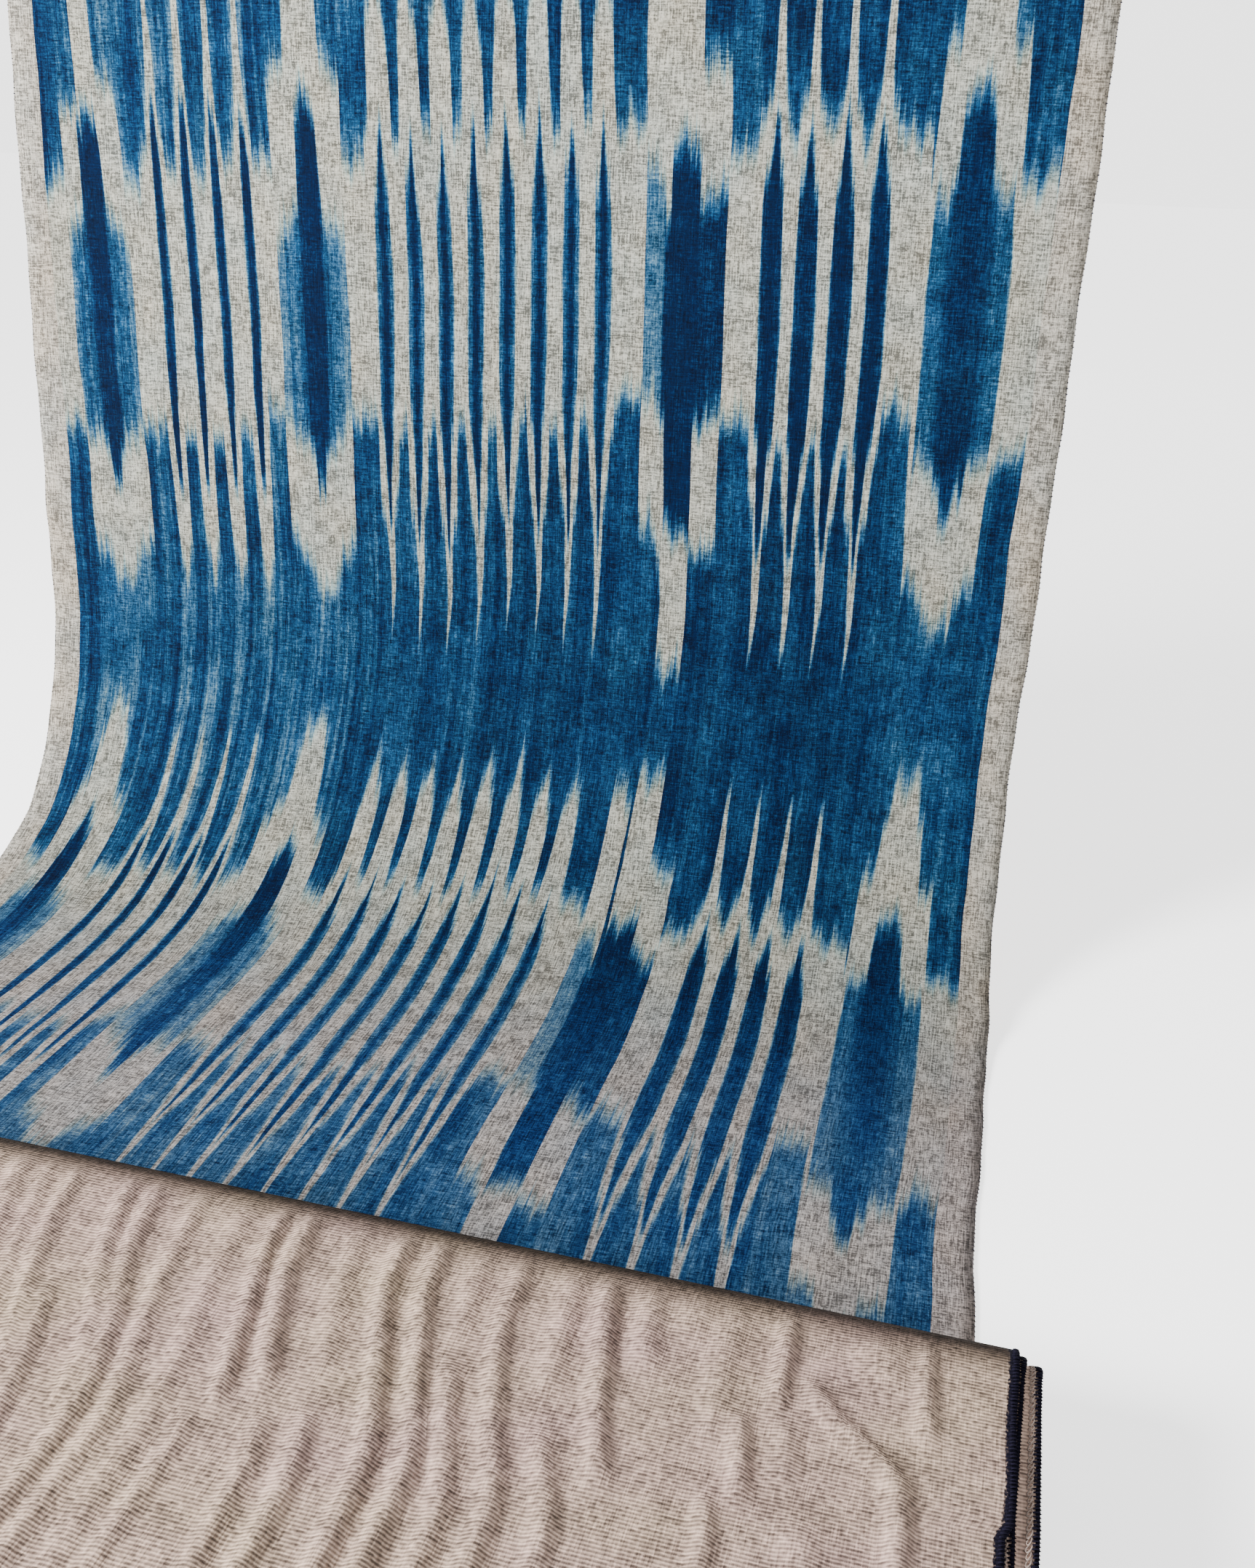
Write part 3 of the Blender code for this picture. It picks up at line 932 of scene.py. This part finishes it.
def face_material():
    """Patterned side: the dye's colours, lit and darkened by the grain of the weave."""
    kit = Kit(bpy.data.materials.new("ikat_face"))
    dye = ikat_dye(kit, *cloth_spot(kit, "chart"))
    across, along = cloth_spot(kit, "cloth")
    grain = face_grain(kit, across, along)
    dyed = kit.ease(dye, *DYED)
    dye = dye - grain * GRAIN_IN_DYE * dyed
    colours = kit.node("ShaderNodeValToRGB", {"Fac": dye},
                       stops=[(depth, linear(*tone)) for depth, tone in FACE_DYES])
    least, most = FACE_LIMITS
    lit = kit.node("ShaderNodeClamp", {0: 1.0 + grain * (GRAIN_LIGHT - dyed * GRAIN_LESS),
                                       1: least, 2: most}) * FACE_TONE
    hue = kit.uneven(across, along, FACE_HUE) * FACE_HUE_BY
    # Painted reflection: a tinted veil low on the loose end, deeper violet over its dye
    painted_veil = kit.ease(along, *PAINTED_VEIL_PLACES)
    painted_violet = painted_veil * kit.ease(dye, *VEIL_VIOLET_DYE)
    red, blue = (painted_veil * veil_share + painted_violet * violet_share for veil_share, violet_share in zip(PAINTED_VEIL_TINT, PAINTED_VIOLET_TINT))
    tone = kit.tint(colours, lit * (1.0 + hue + red), lit, lit * (1.0 - hue + blue))
    return kit.finish(tone, grain, *FACE_FINISH)


# Reverse: plain taupe with short weft floats and a dark bound edge


def reverse_material(fold_along):
    """Taupe side, with painted shade along the far fold of the outermost turn and painted light on
    the layers beneath.
    """
    kit = Kit(bpy.data.materials.new("taupe_reverse"))
    across, along = cloth_spot(kit, "cloth")
    row = kit.maths("FLOOR", along / FLOAT_ROW)
    offset = kit.random(row) * FLOAT_START + (row % 2.0) * FLOAT_STAGGER
    dash = kit.noise((across + offset) / FLOAT_LONG, row * ROWS_APART, 1.0)
    ridge = kit.maths("SINE", along * (2.0 * math.pi / FLOAT_ROW))
    warp, fleck, blotch = (kit.uneven(across, along, cells) for cells in REVERSE_CELLS)
    grain = blend((dash, ridge, warp, fleck, blotch), REVERSE_SHARES)
    height = blend((ridge, dash, warp, fleck), RELIEF_SHARES)

    fold_at = fold_along * 1000.0 + FOLD_LINE
    begins, full, fading, ends = (fold_at + place for place in FOLD_SHADE_PLACES)
    # Painted shade: the reverse darkens along the far fold, where the cloth turns away from the
    # light
    before = kit.ease(along, begins - blotch * FOLD_SHADE_WANDER, full)
    after = 1.0 - kit.ease(along, fading, ends)
    painted_fold_shade = 1.0 - before * after * FOLD_SHADE_DEPTH
    # Painted light: the reverse of the turns beneath is lightened where their edges lie in shade
    painted_light_beneath = 1.0 + (along > fold_at + OUTER_REACH) * BENEATH_PAINTED_LIGHT
    least, most = REVERSE_LIMITS
    lit = kit.node("ShaderNodeClamp", {0: 1.0 + grain, 1: least, 2: most})
    lit = lit * painted_fold_shade * painted_light_beneath * REVERSE_TONE
    hue = kit.uneven(across, along, REVERSE_HUE) * REVERSE_HUE_BY
    plain = kit.tint(colour(*REVERSE_BASE), lit, lit * (1.0 + hue), lit * (1.0 - hue))

    fuzz = kit.uneven(across, along, EDGE_FUZZ) * EDGE_FUZZ_BY
    edge = CLOTH_WIDTH * 500.0 - kit.maths("ABSOLUTE", across) + fuzz
    outermost = along < fold_at + OUTER_REACH
    # The outermost turn's wider dark band is partly bulkier thread, partly painted shadow
    reach = THREAD_REACH + (TOP_THREAD_AND_SHADOW_REACH - THREAD_REACH) * outermost
    bound = 1.0 - kit.ease(edge, reach - THREAD_BLUR, reach + THREAD_BLUR)
    tone = kit.mix(bound, plain, colour(*BOUND_TONE))
    return kit.finish(tone, height, *REVERSE_FINISH)


def thread_material(name, tone):
    """Fibrous thread or cut edge of one tone."""
    kit = Kit(bpy.data.materials.new(name))
    place = kit.node("ShaderNodeTexCoord", output=3)
    fibre = kit.node("ShaderNodeTexNoise",
                     {"Vector": place, "Scale": FIBRE_SCALE, "Detail": FIBRE_DETAIL})
    lit = FIBRE_LEAST + fibre * FIBRE_BY
    return kit.finish(kit.tint(colour(*tone), lit, lit, lit), fibre, *THREAD_FINISH)


# Stitches along both edges, repeated with Geometry Nodes


def tube(points, radius, closed):
    """A thin thread along points in millimetres, as a mesh for one stitch."""
    mesh = bmesh.new()
    points = [Vector(point) for point in points]
    count = len(points)
    rings = []
    for index, point in enumerate(points):
        before = points[index - 1] if closed or index else point
        after = points[(index + 1) % count] if closed or index < count - 1 else point
        along = (after - before).normalized()
        side = along.cross(RING_START).normalized()
        rise = side.cross(along)
        ring = []
        for corner in range(THREAD_SIDES):
            angle = 2.0 * math.pi * corner / THREAD_SIDES
            spot = point + (side * math.cos(angle) + rise * math.sin(angle)) * radius
            ring.append(mesh.verts.new(spot / 1000.0))
        rings.append(ring)
    for index in range(count if closed else count - 1):
        first = rings[index]
        second = rings[(index + 1) % count]
        for corner in range(THREAD_SIDES):
            other = (corner + 1) % THREAD_SIDES
            mesh.faces.new((first[corner], first[other], second[other], second[corner]))
    if not closed:
        mesh.faces.new(rings[0][::-1])
        mesh.faces.new(rings[-1])
    bmesh.ops.recalc_face_normals(mesh, faces=mesh.faces)
    return add_mesh("stitch", mesh)


def stitch_tree():
    """Places one stitch on every point, turned to the edge there, each a little different."""
    tree = bpy.data.node_groups.new("edge_stitches", "GeometryNodeTree")
    for name, kind in (("Geometry", "Geometry"), ("Stitch", "Object"), ("Thread", "Material"),
                       ("Least", "Float"), ("Most", "Float"), ("Seed", "Int")):
        tree.interface.new_socket(name, in_out="INPUT", socket_type="NodeSocket" + kind)
    tree.interface.new_socket("Geometry", in_out="OUTPUT", socket_type="NodeSocketGeometry")
    enter = tree.nodes.new("NodeGroupInput")
    leave = tree.nodes.new("NodeGroupOutput")

    def node(kind, **settings):
        added = tree.nodes.new(kind)
        for name, value in settings.items():
            setattr(added, name, value)
        return added

    outward = node("FunctionNodeAlignRotationToVector", axis="X")
    upward = node("FunctionNodeAlignRotationToVector", axis="Z", pivot_axis="X")
    for name, aligned in (("outward", outward), ("upward", upward)):
        attribute = node("GeometryNodeInputNamedAttribute", data_type="FLOAT_VECTOR")
        attribute.inputs["Name"].default_value = name
        tree.links.new(attribute.outputs["Attribute"], aligned.inputs["Vector"])
    size = node("FunctionNodeRandomValue", data_type="FLOAT_VECTOR")
    shape = node("GeometryNodeObjectInfo")
    place = node("GeometryNodeInstanceOnPoints")
    whole = node("GeometryNodeRealizeInstances")
    dress = node("GeometryNodeSetMaterial")
    for source, given, target, taken in (
            (outward, "Rotation", upward, "Rotation"),
            (enter, "Least", size, "Min"),
            (enter, "Most", size, "Max"),
            (enter, "Seed", size, "Seed"),
            (enter, "Stitch", shape, "Object"),
            (enter, "Geometry", place, "Points"),
            (shape, "Geometry", place, "Instance"),
            (upward, "Rotation", place, "Rotation"),
            (size, "Value", place, "Scale"),
            (place, "Instances", whole, "Geometry"),
            (whole, "Geometry", dress, "Geometry"),
            (enter, "Thread", dress, "Material"),
            (dress, "Geometry", leave, "Geometry")):
        tree.links.new(source.outputs[given], target.inputs[taken])
    return tree


def edge_guide(stations, pitch, inset, lift):
    """Evenly spaced points along both edges, with the directions out of the cloth."""
    places, outs, ups = [], [], []
    for side in (-1.0, 1.0):
        outer = CLOTH_WIDTH / 2.0 - inset
        across = side * np.array([outer, outer - ACROSS_STEP])
        spots, outward, upward = [], [], []
        for station in stations:
            middle = row_places(across, 0.0, station)
            raised = row_places(across, -LIFT_STEP, station)
            upward.append((raised[0] - middle[0]) / LIFT_STEP)
            outward.append((middle[0] - middle[1]) / ACROSS_STEP)
            spots.append(middle[0] + upward[-1] * lift)
        spots = np.array(spots)
        lengths = np.concatenate([[0.0], np.cumsum(np.linalg.norm(np.diff(spots, axis=0), axis=1))])
        wanted = np.arange(pitch / 2.0, lengths[-1], pitch)
        for source, kept in ((spots, places), (np.array(outward), outs), (np.array(upward), ups)):
            kept.append(np.stack([np.interp(wanted, lengths, source[:, axis])
                                  for axis in range(3)], axis=1))
    return np.concatenate(places), np.concatenate(outs), np.concatenate(ups)


def sew(name, tree, stitch, thread, guide, sizes):
    """One piece of stitches as a plain mesh."""
    places, outs, ups = guide
    data = bpy.data.meshes.new(name)
    data.from_pydata([tuple(place) for place in places], [], [])
    for label, values in (("outward", outs), ("upward", ups)):
        held = data.attributes.new(label, "FLOAT_VECTOR", "POINT")
        held.data.foreach_set("vector", values.astype(np.float32).ravel())
    points = add_object(name + "_points", data)
    modifier = points.modifiers.new("stitches", "NODES")
    modifier.node_group = tree
    given = dict(zip(("Least", "Most", "Seed"), sizes), Stitch=stitch, Thread=thread)
    for item in tree.interface.items_tree:
        if item.in_out == "INPUT" and item.name in given:
            modifier[item.identifier] = given[item.name]
    bpy.context.view_layer.update()
    seen = points.evaluated_get(bpy.context.evaluated_depsgraph_get())
    made = add_object(name, bpy.data.meshes.new_from_object(seen))
    for used in (points, stitch):
        bpy.data.objects.remove(used)
    for polygon in made.data.polygons:
        polygon.use_smooth = True
    return made


def make_stitches(stations):
    """Dark thread over the edges and the paler chain stitch beside it."""
    loose = [station for station in stations if station["part"] in LOOSE_PARTS]
    wound = stations[len(loose) - 1:]
    wound = [station for station in wound if station["layer"] <= BOUND_TURNS]
    painted_light_beneath = [station for station in wound if station["layer"] > FIRST_BENEATH]
    tree = stitch_tree()
    navy = thread_material("navy_thread", NAVY)
    ticks = sew("edge_ticks", tree, tube(BINDING_LOOP, BINDING_RADIUS, False), navy,
                edge_guide(loose, LOOSE_PITCH, 0.0, 0.0), LOOSE_SIZES)
    binding = sew("edge_binding", tree, tube(BINDING_LOOP, BINDING_RADIUS, False), navy,
                  edge_guide(wound, THREAD_PITCH, 0.0, 0.0), BINDING_SIZES)
    ring = []
    for corner in range(LINK_CORNERS):
        angle = 2.0 * math.pi * corner / LINK_CORNERS
        along = LINK_LONG * math.sin(angle)
        ring.append((LINK_WIDE * math.cos(angle) + LINK_SLANT * along, along, 0.0))
    lift = CLOTH_THICKNESS / 2.0 + LINK_LIFT
    links = sew("chain_stitch", tree, tube(ring, LINK_RADIUS, True),
                thread_material("taupe_thread", CHAIN_TONE),
                edge_guide(painted_light_beneath, LINK_PITCH, LINK_INSET, lift), LINK_SIZES)
    return ticks, binding, links


# Surface, light and camera


def make_floor():
    """Pale surface that brightens away from the cloth into the pale surroundings."""
    mesh = bmesh.new()
    bmesh.ops.create_grid(mesh, x_segments=1, y_segments=1, size=FLOOR_HALF)
    floor = add_mesh("floor", mesh)
    floor.location.z = -FLOOR_DROP
    kit = Kit(bpy.data.materials.new("pale_floor"))
    spot = kit.node("ShaderNodeTexCoord", output=3)
    reach = kit.node("ShaderNodeVectorMath", {0: spot}, output=1, operation="LENGTH")
    glow = kit.ease(reach, *GLOW_REACH) * (FLOOR_FAR_GLOW - FLOOR_GLOW) + FLOOR_GLOW
    for name, value in (
            ("Base Color", (FLOOR_TONE, FLOOR_TONE, FLOOR_TONE, 1.0)),
            ("Roughness", FLOOR_ROUGHNESS),
            ("Emission Color", kit.node("ShaderNodeCombineColor", {0: glow, 1: glow, 2: glow})),
            ("Emission Strength", 1.0)):
        kit.set(kit.shader.inputs[name], value)
    floor.data.materials.append(kit.owner)


def make_light():
    """Soft key light from the left, and surroundings that are brightest low down."""
    kit = Kit(bpy.data.worlds.new("studio"), "Background")
    height = kit.node("ShaderNodeSeparateXYZ", {0: kit.node("ShaderNodeTexCoord")}, output=2)
    low, high = WALL_TOP
    strength = kit.node("ShaderNodeMapRange",
                        {"Value": height, "From Min": low, "From Max": high,
                         "To Min": WALL_LIGHT, "To Max": CEILING_LIGHT},
                        interpolation_type="SMOOTHSTEP")
    kit.set(kit.shader.inputs["Strength"], strength)
    kit.set(kit.shader.inputs["Color"], (1.0, 1.0, 1.0, 1.0))
    bpy.context.scene.world = kit.owner

    data = bpy.data.lights.new("key", "AREA")
    data.shape = "DISK"
    data.size = KEY_SIZE
    data.energy = KEY_POWER
    light = add_object("key", data)
    light.location = KEY_PLACE
    way = Vector(KEY_AIM) - Vector(KEY_PLACE)
    light.rotation_euler = way.to_track_quat("-Z", "Y").to_euler()


def make_camera():
    """Camera at the photo's place and angle."""
    data = bpy.data.cameras.new("camera")
    data.lens = CAMERA_LENS
    data.sensor_width = CAMERA_SENSOR
    data.clip_start = CAMERA_NEAR
    camera = add_object("camera", data)
    turn = Matrix.Rotation(CAMERA_YAW, 4, "Z")
    turn = turn @ Matrix.Rotation(math.pi / 2 - CAMERA_PITCH, 4, "X")
    turn = turn @ Matrix.Rotation(CAMERA_ROLL, 4, "Z")
    camera.matrix_world = Matrix.Translation(CAMERA_PLACE) @ turn
    bpy.context.scene.camera = camera


def main():
    """Camera, cloth and its threads, then the surface and the light."""
    make_camera()
    stations = cloth_path()
    cloth = make_cloth(stations)
    fold_along = next(station["length"] for station in stations if station["part"] == "far fold")
    for made in (face_material(), reverse_material(fold_along),
                 thread_material("bound_edge", NAVY), thread_material("cut_edge", CUT_TONE)):
        cloth.data.materials.append(made)
    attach(cloth, "root")
    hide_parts("ikat_cloth")
    stitches = make_stitches(stations)
    for piece in stitches:
        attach(piece, "root")
    make_floor()
    make_light()


main()
